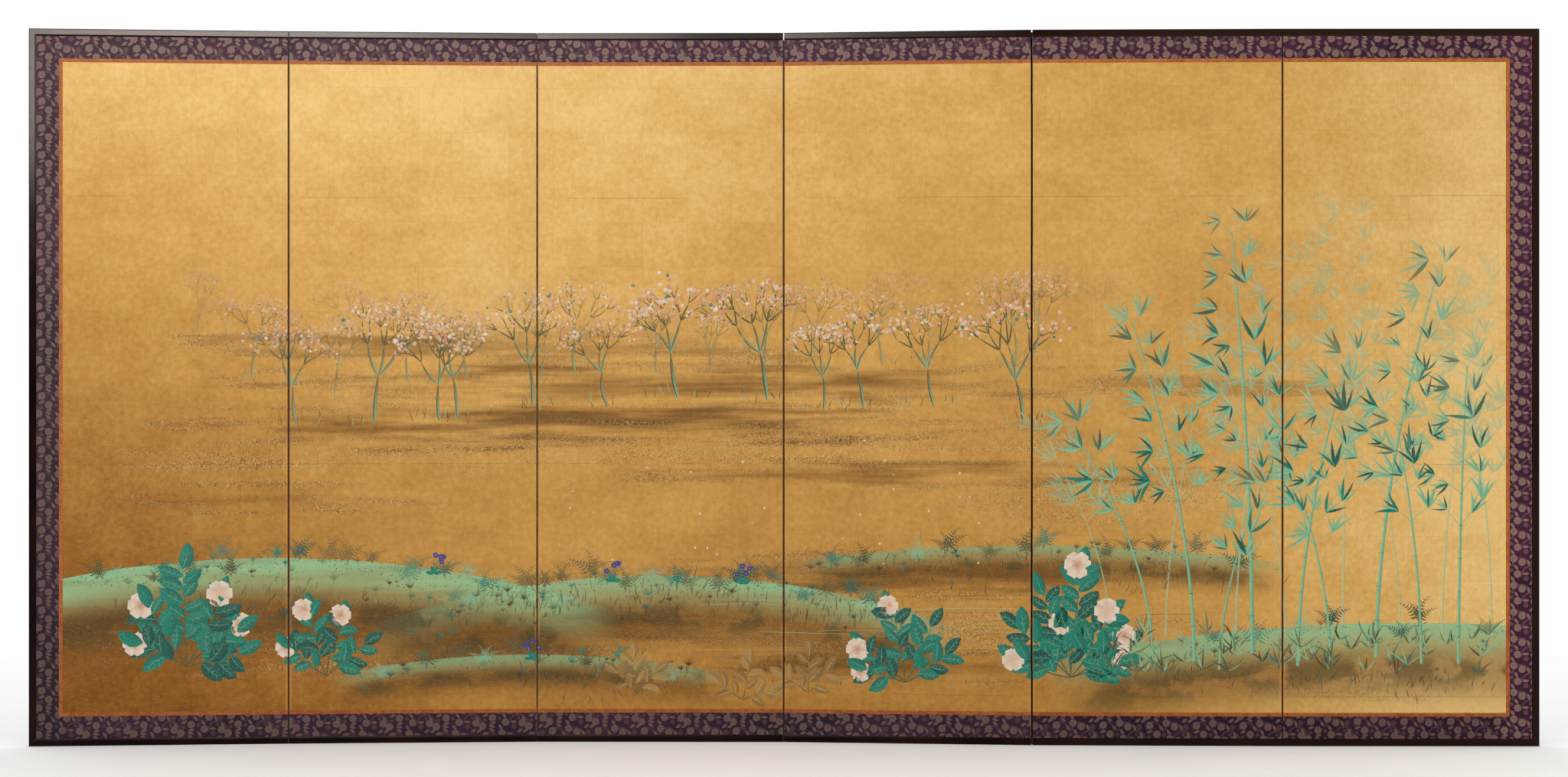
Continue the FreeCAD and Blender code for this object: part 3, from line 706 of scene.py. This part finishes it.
class Painting:
    """Strokes on the unfolded picture, each a bent copy of a brush mark."""

    def __init__(self):
        self.points, self.faces, self.colours = [], [], []
        self.strokes = self.laid = self.level = 0

    def stroke(self, mark, start, end, width, colour, tip=None, sag=0, strength=1,
               shade=0.75):
        """sag bends the line to its left by a share of its length; shade darkens the right."""
        start, end = np.array(start), np.array(end)
        chord = end - start
        control = (start + end) / 2 + 2 * sag * np.array((-chord[1], chord[0]))
        t = mark.points[:, :1]
        line = (1 - t) ** 2 * start + 2 * t * (1 - t) * control + t ** 2 * end
        slope = (1 - t) * (control - start) + t * (end - control)
        aside = np.stack((-slope[:, 1], slope[:, 0]), 1)
        aside /= np.linalg.norm(aside, axis=1, keepdims=True)
        place = line + aside * mark.points[:, 1:] * width
        lift = LOWEST_LIFT + self.level * LEVEL_STEP + self.strokes % STEPS * LIFT_STEP
        base, last = np.array(colour[:3]), np.array((tip or colour)[:3])
        tint = base + (last - base) * t
        tint = tint * (shade + (1 - shade) * np.clip(mark.points[:, 1:] * 1.6 + 0.6, 0, 1))
        count = len(place)
        self.points.append(np.column_stack((place[:, 0], np.full(count, -lift), place[:, 1])))
        self.colours.append(np.column_stack((tint, np.full(count, strength))))
        self.faces.append(np.array(mark.faces) + self.laid)
        self.laid += count
        self.strokes += 1


painting = Painting()
stroke = painting.stroke
chance = random.Random(27)
near, one_of, about = chance.uniform, chance.choice, chance.gauss

MINT, PALE_MINT = ink(140, 200, 158), ink(176, 214, 172)
TEAL, DEEP_TEAL = ink(16, 134, 112), ink(10, 98, 86)
OLIVE, SOIL = ink(92, 92, 52), ink(84, 56, 30)
ROSE, PALE_ROSE, SHELL = ink(214, 148, 112), ink(230, 190, 162), ink(240, 222, 200)
VIOLET, EYE = ink(66, 56, 128), ink(226, 190, 92)


def onwards(start, degrees, length):
    """The point that lies so far from start, in a direction counted from the right."""
    turn = math.radians(degrees)
    return start[0] + math.cos(turn) * length, start[1] + math.sin(turn) * length


def between(start, end, share):
    """The point at a share of the way from start to end."""
    return start[0] + (end[0] - start[0]) * share, start[1] + (end[1] - start[1]) * share


print("the lowest stroke stands", LOWEST_LIFT / MM, "mm before the silk")

# %% [markdown]
# ## A far grove in blossom
#
# Three loose rows of small trees in blossom stand in the mist, with trunks that fork three
# times and rose dabs about the twigs. The ones behind are smaller and fainter. A limb is a
# function that calls itself for its forks, so that no two trees are alike.


# %% Blossoming trees
def limb(start, degrees, length, width, forks, strength, ends):
    end = onwards(start, degrees, length)
    sag = near(-0.08, 0.08)
    stroke(LINE, start, end, width, MINT if forks > 1 else OLIVE, tip=OLIVE, sag=sag,
           strength=strength)
    if forks > 1:
        stroke(LINE, start, end, width * 0.4, SOIL, sag=sag + 0.03, strength=strength * 0.8)
    if not forks:
        ends.append(end)
        return
    for turn in (near(18, 38), near(-8, 8), near(-38, -18)):
        if forks > 1 or chance.random() < 0.8:
            limb(end, degrees + turn, length * near(0.55, 0.78), width * 0.68, forks - 1, strength,
                 ends)


def blossoming_tree(across, foot, height, strength):
    ends = []
    painting.level = 0
    limb((across, foot), near(80, 100), height * 0.34, height * 0.026, 3, strength, ends)
    for _ in range(7):
        at = (across + about(0, height * 0.16), foot + about(0, height * 0.02))
        stroke(BLADE, at, onwards(at, near(60, 120), height * near(0.06, 0.13)), 2 * MM,
               one_of((MINT, OLIVE, SOIL)), strength=strength * 0.8)
    painting.level = 1
    for end in ends:
        for _ in range(one_of((4, 5, 6, 7))):
            middle = (end[0] + about(0, height * 0.05), end[1] + about(0, height * 0.038))
            size = height * near(0.018, 0.034)
            stroke(DAB, middle, onwards(middle, near(0, 360), size), size * 0.9,
                   one_of((ROSE, ROSE, PALE_ROSE, PALE_ROSE, SHELL) * 3 + (TEAL,)),
                   strength=strength * near(0.55, 1), shade=0.9)


# Each row of trees: how many, how high its ground lies, how tall they are and how strong.
GROVE = ((17, 0.985, 0.15, 0.42), (15, 0.9, 0.21, 0.66), (12, 0.8, 0.28, 0.95))
GROVE_LEFT, GROVE_RIGHT = -1.52, 0.84
for row, (count, ground, tall, strength) in enumerate(GROVE):
    for number in range(count):
        share = (number + near(0.05, 0.95)) / count
        across = GROVE_LEFT + 0.1 * row + (GROVE_RIGHT - GROVE_LEFT - 0.2 * row) * share
        foot = ground + 0.035 * math.sin(across * 2.3 + row) + near(-0.022, 0.022)
        blossoming_tree(across, foot, tall * near(0.75, 1.25), strength * near(0.75, 1))
print("far grove:", painting.strokes, "strokes")

# %% [markdown]
# ## Ferns and small flowers on the banks
#
# Young pines, ferns and short grass grow along the banks, with moss dots between them. A
# fern's frond is a thin arched stem with pairs of leaflets that shorten towards the tip.
# A few violets stand among them.


# %% Ferns, moss and violets
LEAFLET_PAIRS = 9
PAINTED_HALF = 1.71


def frond(foot, degrees, length, colour, strength):
    lean = 0.16 if degrees < 90 else -0.16
    tip = onwards(foot, degrees, length)
    stroke(LINE, foot, tip, 1.3 * MM, colour, sag=lean, strength=strength)
    for pair in range(2, LEAFLET_PAIRS):
        share = pair / LEAFLET_PAIRS
        bow = 4 * share * (1 - share) * lean * length
        at = onwards(between(foot, tip, share), degrees + 90, bow)
        for side in (-1, 1):
            reach = length * 0.27 * (1.08 - share)
            stroke(BLADE, at, onwards(at, degrees + side * 62, reach), reach * 0.3, colour,
                   sag=side * 0.1, strength=strength)


def fern(foot, size, colour, strength):
    for degrees in (near(28, 45), near(60, 78), near(100, 120), near(135, 152)):
        frond(foot, degrees, size * near(0.75, 1.1), colour, strength)


def violets(foot, count):
    for _ in range(count):
        head = onwards(foot, near(55, 125), near(26, 48) * MM)
        stroke(LINE, foot, head, 1.2 * MM, TEAL, sag=near(-0.12, 0.12))
        for petal in range(5):
            stroke(PETAL, head, onwards(head, petal * 72 + near(0, 20), 7 * MM), 6 * MM, VIOLET,
                   tip=darker(VIOLET, 1.5))
        stroke(DAB, onwards(head, 180, 1.2 * MM), onwards(head, 0, 1.2 * MM), 2.2 * MM, EYE)
    for degrees in (20, 70, 115, 160):
        stroke(OVAL, foot, onwards(foot, degrees + near(-12, 12), 20 * MM), 9 * MM, TEAL)


def seedling(foot, height, colour, strength):
    """A young pine: a short stem and a fan of needles."""
    top = onwards(foot, near(78, 102), height * 0.35)
    stroke(LINE, foot, top, 1.4 * MM, SOIL, strength=strength)
    for needle in range(7):
        degrees = 90 + (needle - 3) * near(15, 21)
        stroke(BLADE, top, onwards(top, degrees, height * near(0.45, 0.75)), near(1.3, 2.2) * MM,
               colour, strength=strength)


# Each patch of short grass: its middle, how far it spreads, and how many blades it has.
TURF = ((-1.3, 0.335, 0.16, 90), (-0.95, 0.3, 0.13, 80), (-0.62, 0.33, 0.12, 80),
        (-0.2, 0.345, 0.17, 110), (0.12, 0.3, 0.12, 70), (0.45, 0.425, 0.16, 80),
        (0.85, 0.4, 0.14, 60), (-0.5, 0.15, 0.17, 80), (0.1, 0.175, 0.12, 60),
        (0.98, 0.165, 0.13, 60), (1.45, 0.15, 0.14, 70))
GREEN_BANKS = [BANKS[number] for number in (1, 2, 4, 0, 3)]
painting.level = 2
for bank, count, share in zip(GREEN_BANKS, (46, 46, 26, 26, 18), (0.85, 0.8, 0.95, 0.9, 0.7)):
    for _ in range(count):
        across = bank[0] + bank[1] * share * near(-1, 1)
        foot = (across, crest(bank, across) - abs(about(0, 0.6)) * bank[4])
        if abs(across) < PAINTED_HALF:
            seedling(foot, near(14, 34) * MM, one_of((DEEP_TEAL, OLIVE, SOIL, SOIL, TEAL)),
                     near(0.45, 0.95))
for bank, count, share in zip(GREEN_BANKS, (20, 22, 12, 12, 10), (0.72, 0.72, 0.9, 0.85, 0.6)):
    for number in range(count):
        across = bank[0] + bank[1] * share * (2 * (number + near(0.1, 0.9)) / count - 1)
        if abs(across) > PAINTED_HALF:
            continue
        foot = (across, crest(bank, across) + near(-0.045, 0))
        fern(foot, near(42, 78) * MM, one_of((TEAL, DEEP_TEAL, OLIVE, OLIVE, MINT)),
             near(0.5, 0.95))
        for _ in range(16):
            dot = (across + about(0, 0.045), foot[1] + about(-0.006, 0.014))
            stroke(DAB, dot, onwards(dot, near(0, 360), 3 * MM), near(2, 3.4) * MM,
                   one_of((DEEP_TEAL, OLIVE, SOIL)), strength=near(0.4, 0.9))
for middle, up, reach, count in TURF:
    for _ in range(count):
        foot = (about(middle, reach), about(up, reach * 0.14))
        if abs(foot[0]) < PAINTED_HALF + 0.01:
            stroke(BLADE, foot, onwards(foot, near(58, 112), near(14, 38) * MM),
                   near(1.6, 2.6) * MM, one_of((OLIVE, SOIL, DEEP_TEAL, SOIL)),
                   sag=near(-0.15, 0.15), strength=near(0.35, 0.85))
painting.level = 3
for across, bank in ((-0.42, BANKS[1]), (-0.1, BANKS[1]), (-0.86, BANKS[2]), (-0.62, BANKS[4])):
    violets((across, crest(bank, across) - 12 * MM), 4)
print("with ferns and violets:", painting.strokes, "strokes")

# %% [markdown]
# ## Camellias
#
# Low bushes with pale flowers stand in the foreground, with faded golden sprigs among
# them. A leaf is one broad touch with veins, and a flower two rings of petals.


# %% Camellia bushes
def camellia_leaf(foot, degrees, length, tints, strength):
    tip = onwards(foot, degrees, length)
    bend = near(-0.1, 0.1)
    stroke(OVAL, foot, tip, length * near(0.46, 0.56), one_of(tints[1:]), sag=bend, shade=0.6,
           strength=strength)
    stroke(LINE, foot, onwards(foot, degrees, length * 0.86), 1.1 * MM, tints[0], sag=bend,
           strength=strength)
    for share in (0.3, 0.5, 0.7):
        start = onwards(foot, degrees, length * share)
        for side in (-1, 1):
            stroke(LINE, start, onwards(start, degrees + side * 42, length * 0.2), 0.8 * MM,
                   tints[0], strength=strength * 0.6)


def camellia_flower(middle, size):
    for ring, (count, reach) in enumerate(((6, 1), (5, 0.66))):
        for petal in range(count):
            degrees = petal * 360 / count + 20 * ring + near(-6, 6)
            stroke(PETAL, middle, onwards(middle, degrees, size * reach), size * reach * 0.95,
                   ROSE if ring else PALE_ROSE, tip=SHELL, shade=0.85)
    for dot in range(6):
        at = onwards(middle, dot * 60, size * 0.18)
        stroke(DAB, at, onwards(at, dot * 60, 2.2 * MM), 2.2 * MM, EYE)


def camellia(foot, sprigs, size, tints=(darker(MINT, 0.8), TEAL, TEAL, DEEP_TEAL), strength=1,
             flowers=0.55):
    for degrees, length in sprigs:
        end = onwards(foot, degrees, length)
        stroke(LINE, foot, end, 3.2 * MM, OLIVE, tip=tints[1], sag=near(-0.08, 0.08),
               strength=strength)
        leaves = max(3, round(length / (24 * MM)))
        for number in range(leaves):
            share = 0.3 + 0.7 * number / leaves
            side = 1 if number % 2 else -1
            camellia_leaf(between(foot, end, share), degrees + side * near(35, 70),
                          size * near(0.8, 1.1), tints, strength)
        camellia_leaf(end, degrees + near(-15, 15), size, tints, strength)
        if chance.random() < flowers:
            camellia_flower(onwards(end, degrees + 40, size * 0.3), size * near(0.42, 0.52))


FADED = (ink(224, 192, 122), ink(178, 140, 74), ink(160, 120, 60))
painting.level = 3
for across, up in ((-0.36, 0.118), (-0.1, 0.104), (0.06, 0.122)):
    camellia((across, up), ((near(20, 50), 0.07), (near(70, 100), 0.09), (near(120, 150), 0.07)),
             44 * MM, FADED, 0.7, 0)
camellia((0.7, 0.165), ((58, 0.17), (84, 0.26), (108, 0.21), (136, 0.17), (34, 0.15),
                         (158, 0.13), (16, 0.12), (96, 0.12)), 62 * MM)
camellia((0.3, 0.15), ((66, 0.15), (100, 0.18), (35, 0.12), (142, 0.13), (162, 0.1)), 54 * MM)
camellia((-1.46, 0.19), ((62, 0.18), (92, 0.24), (122, 0.17), (34, 0.15), (150, 0.12),
                          (14, 0.13)), 64 * MM)
camellia((-1.12, 0.165), ((74, 0.14), (106, 0.16), (40, 0.12), (140, 0.11)), 52 * MM)
print("with camellias:", painting.strokes, "strokes")

# %% [markdown]
# ## Bamboo
#
# A clump of young bamboo fills the right, taller than anything else. Each culm is drawn
# joint by joint, with a dark ring between, thin branches from its upper joints and sprays
# of four to six leaves. The culms behind are paler.


# %% Bamboo
def leaf_spray(start, degrees, size, colours, strength):
    if degrees < 90:
        middle = degrees + (270 - degrees) * 0.22
    else:
        middle = degrees + (degrees + 90) * 0.12
    for number in range(one_of((4, 4, 5, 6))):
        turn = middle + (number - 2.1) * near(17, 26)
        length = size * near(0.65, 1.15)
        stroke(BLADE, start, onwards(start, turn, length), length * near(0.11, 0.15),
               one_of(colours), sag=near(-0.07, 0.07), strength=strength, shade=0.62)


def bamboo(across, foot, height, lean, girth, colours, strength, level):
    joints = max(7, round(height / (78 * MM)))
    steps = [share / joints for share in range(joints + 1)]
    path = [(across + lean * share ** 1.7, foot + height * (share ** 0.94)) for share in steps]
    for number, (low, high) in enumerate(zip(path, path[1:])):
        painting.level = level
        slim = girth * (1 - 0.55 * number / joints)
        faint = strength * (1 - 0.45 * (number / joints) ** 2)
        stroke(CULM, low, high, slim, colours[0], strength=faint, shade=0.55)
        stroke(LINE, (high[0] - slim * 0.7, high[1]), (high[0] + slim * 0.7, high[1]), 1.5 * MM,
               DEEP_TEAL, strength=faint * 0.9)
        if number < joints * 0.3:
            continue
        side = 1 if number % 2 else -1
        for bend in (1, -0.9):
            degrees = 90 - side * near(34, 62) * bend
            length = height * near(0.07, 0.14) * (1.25 - number / joints)
            end = onwards(high, degrees, length)
            stroke(LINE, high, end, 1.7 * MM, colours[0], sag=near(-0.1, 0.1), strength=faint)
            painting.level = level + 1
            leaf_spray(end, degrees, near(46, 72) * MM, colours, faint)
            if length > 0.07:
                halfway = ((high[0] + end[0]) / 2, (high[1] + end[1]) / 2)
                leaf_spray(halfway, degrees - side * 30, near(38, 56) * MM, colours, faint)
            painting.level = level


PALE_SET, FULL_SET = (PALE_MINT, MINT, MINT), (MINT, TEAL, MINT, DEEP_TEAL, MINT)
# Each culm: its foot across and up, its height, how far its tip leans, and its girth.
PALE_CULMS = ((1.72, 0.3, 0.8, -0.1, 5.5), (0.8, 0.25, 0.5, -0.16, 4),
              (0.93, 0.26, 0.72, 0.12, 5), (1.1, 0.27, 0.88, 0.14, 5.5),
              (1.22, 0.28, 0.7, -0.18, 4.5), (1.36, 0.29, 0.98, 0.02, 5.5),
              (1.5, 0.28, 0.62, -0.12, 4.5), (1.6, 0.27, 0.84, 0.1, 5))
FULL_CULMS = ((0.9, 0.215, 0.56, -0.2, 6), (1, 0.205, 0.82, -0.15, 8),
              (1.14, 0.225, 1.02, -0.05, 9.5), (1.25, 0.195, 0.74, 0.12, 7.5),
              (1.33, 0.205, 0.48, -0.1, 6), (1.44, 0.215, 0.94, 0.15, 9),
              (1.55, 0.2, 0.58, -0.06, 6.5), (1.64, 0.2, 0.72, 0.02, 7.5),
              (1.06, 0.185, 0.44, 0.1, 6))
for culms, *look in ((PALE_CULMS, PALE_SET, 0.55, 2), (FULL_CULMS, FULL_SET, 1, 4)):
    for *growth, girth in culms:
        bamboo(*growth, girth * MM, *look)
painting.level = 4
for number in range(58):
    foot = (near(0.8, 1.73), near(0.175, 0.275))
    for degrees in (near(25, 60), near(60, 90), near(90, 120), near(120, 150)):
        stroke(BLADE, foot, onwards(foot, degrees, near(26, 64) * MM), near(3, 5) * MM,
               one_of((DEEP_TEAL, OLIVE, SOIL, MINT, MINT, TEAL)), sag=near(-0.12, 0.12),
               strength=near(0.45, 0.95))
print("with the bamboo:", painting.strokes, "strokes")

# %% [markdown]
# ## Ripples and fallen petals
#
# Between the banks lies shallow water, told only by long thin ripples, with a few petals.

# %% Ripples and petals
painting.level = 0
for number in range(34):
    across, up = near(-0.15, 0.95), near(0.215, 0.36)
    reach = near(0.05, 0.19)
    stroke(LINE, (across - reach, up), (across + reach, up + near(-0.004, 0.004)),
           near(1.1, 1.9) * MM, one_of((PALE_MINT, MINT, SOIL, EYE)), sag=near(-0.02, 0.02),
           strength=near(0.25, 0.6))
painting.level = 1
for _ in range(46):
    at = (about(0.15, 0.5), about(0.56, 0.09))
    stroke(PETAL, at, onwards(at, near(0, 360), near(5, 8) * MM), near(4, 6) * MM,
           one_of((ROSE, PALE_ROSE, SHELL)), strength=near(0.5, 0.9))
print("the whole painting:", painting.strokes, "strokes")

# %% [markdown]
# ## One painted piece for each panel
#
# The painting is cut at the seams with bisect, so no stroke bridges a fold. Each panel's
# share gets its thickness from a Solidify modifier, which grows it back into the silk,
# and is moved onto its sheet. Thin paint lets the ground come through in the shader.

# %% The pigment
pigment, place = blank_finish("mineral_pigment")
ground, gloss, weave = gold_ground(place)
stored = place.node("Attribute", {"attribute_name": "pigment"}, out="Color")
grain = speckle(place, 260, detail=4)
pooling = speckle(place, 40, detail=3)
cover = (stored.beside("Alpha") * (grain * 0.5 + 0.82)).rise(0.02, 1)
paint = stain(stored, ink(250, 248, 236), grain.rise(0.5, 0.85) * 0.16)
paint = stain(paint, ink(60, 90, 76), pooling.rise(0.5, 0.75) * 0.14)
coat(pigment, stain(ground, paint, cover), 0.78, 0.2, grain, 0.05)
print(pigment.name, "has", len(pigment.node_tree.nodes), "nodes")

# %% Cut the painting and lay it on the sheets
SEAM_STEP, MARGIN = 3.6 * MM, 0.3 * MM
widths = {k: float(np.linalg.norm(ENDS[k][1] - ENDS[k][0])) for k in PANELS}
whole = sum(widths.values()) + SEAM_STEP * (len(widths) - 1)
starts = {k: -whole / 2 + sum(widths[j] + SEAM_STEP for j in range(1, k)) for k in PANELS}


def thicken(piece, thickness, offset):
    body = piece.modifiers.new("body", "SOLIDIFY")
    body.thickness, body.offset = thickness, offset
    bpy.ops.object.modifier_apply(modifier=body.name)


points, colours = np.concatenate(painting.points), np.concatenate(painting.colours)
for k in PANELS:
    low, high = starts[k], starts[k] + widths[k]
    faces = [group for group in painting.faces
             if points[group, 0].max() > low and points[group, 0].min() < high]
    kept, renumbered = np.unique(np.concatenate(faces), return_inverse=True)
    mesh = bpy.data.meshes.new(f"panel_{k}_painted_motifs")
    mesh.from_pydata(points[kept].tolist(), [], renumbered.reshape(-1, 4).tolist())
    layer = mesh.color_attributes.new("pigment", "FLOAT_COLOR", "POINT")
    layer.data.foreach_set("color", colours[kept].astype(np.float32).ravel())
    piece = bpy.data.objects.new(mesh.name, mesh)
    scene.collection.objects.link(piece)
    bpy.context.view_layer.objects.active = piece
    piece.select_set(True)
    bpy.ops.object.mode_set(mode="EDIT")
    for cut, way in ((low + MARGIN, -1), (high - MARGIN, 1)):
        bpy.ops.mesh.select_all(action="SELECT")
        bpy.ops.mesh.bisect(plane_co=(cut, 0, 0), plane_no=(way, 0, 0), clear_outer=True)
    bpy.ops.mesh.select_all(action="SELECT")
    bpy.ops.transform.translate(value=(-low, 0, 0))
    bpy.ops.object.mode_set(mode="OBJECT")
    thicken(piece, PAINT_THICKNESS, -1)
    left, right = ENDS[k]
    piece.rotation_euler = (0, 0, math.atan2(right[1] - left[1], right[0] - left[0]))
    piece.location = (left[0], left[1], 0)
    bpy.ops.object.transform_apply()
    piece.select_set(False)
    piece.data.materials.append(pigment)
    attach(piece, f"panel_{k}")
    print(piece.name, "has", len(piece.data.polygons), "faces")

# %% [markdown]
# ## Paper at the seams
#
# Thin dyed paper bridges each gap between two panels; its dark colour is partly the dye and
# partly painted shade of the gap. At the first, third and fifth seams it lies just behind the
# pictures' faces, at the others behind the backs. Its eight columns let it bend as the panels
# fold. Shorter bits close the gaps between the rails, but for the one above the third seam.

# %% Paste the seam papers
PAPER_THICKNESS, PAPER_SINK = 0.2 * MM, 0.35 * MM
SHEETS_LOW, SHEETS_HIGH = FRAME_FACE, HEIGHT - FRAME_FACE
RAIL_INSET = 0.65 * MM
OPEN_ABOVE, NOTCHED_ABOVE = 3, 4


def paper_strip(start, end, low, high):
    """A flat upright strip from start to end, both seen from above, in eight columns."""
    across = end - start
    bpy.ops.mesh.primitive_grid_add(
        x_subdivisions=8, y_subdivisions=1, size=1,
        location=(*(start + end) / 2, (low + high) / 2),
        rotation=(math.pi / 2, 0, math.atan2(across[1], across[0])))
    bpy.context.object.scale = (np.linalg.norm(across), high - low, 1)
    bpy.ops.object.transform_apply()
    return bpy.context.object


for k in PANELS[:-1]:
    face, sheet = (-1, "picture") if k % 2 else (1, "back_cover")
    left = edge_of(f"panel_{k}_{sheet}", 1, face)
    right = edge_of(f"panel_{k + 1}_{sheet}", -1, face)
    across = (right - left) / np.linalg.norm(right - left)
    inwards = np.array((across[1], -across[0])) * face
    left, right = left + inwards * PAPER_SINK, right + inwards * PAPER_SINK
    strips = [paper_strip(left + across * 0.05 * MM, right - across * 0.05 * MM,
                          SHEETS_LOW, SHEETS_HIGH)]
    top = HEIGHT - (4 if k == NOTCHED_ABOVE else 0.5) * MM
    for low, high in ((0.5 * MM, SHEETS_LOW), (SHEETS_HIGH, top)):
        if low < SHEETS_HIGH or k != OPEN_ABOVE:
            strips.append(paper_strip(left + across * RAIL_INSET, right - across * RAIL_INSET,
                                      low, high))
    for strip in strips:
        strip.select_set(True)
    bpy.context.view_layer.objects.active = strips[0]
    bpy.ops.object.join()
    paper = strips[0]
    paper.name = paper.data.name = f"seam_{k}_{k + 1}_paper"
    thicken(paper, PAPER_THICKNESS, 0)
    paper.data.materials.append(hinge_paper_with_shade)
    paper.select_set(False)
    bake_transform(paper)
    print(paper.name, "bridges", round(float(np.linalg.norm(right - left)) / MM, 2), "mm")
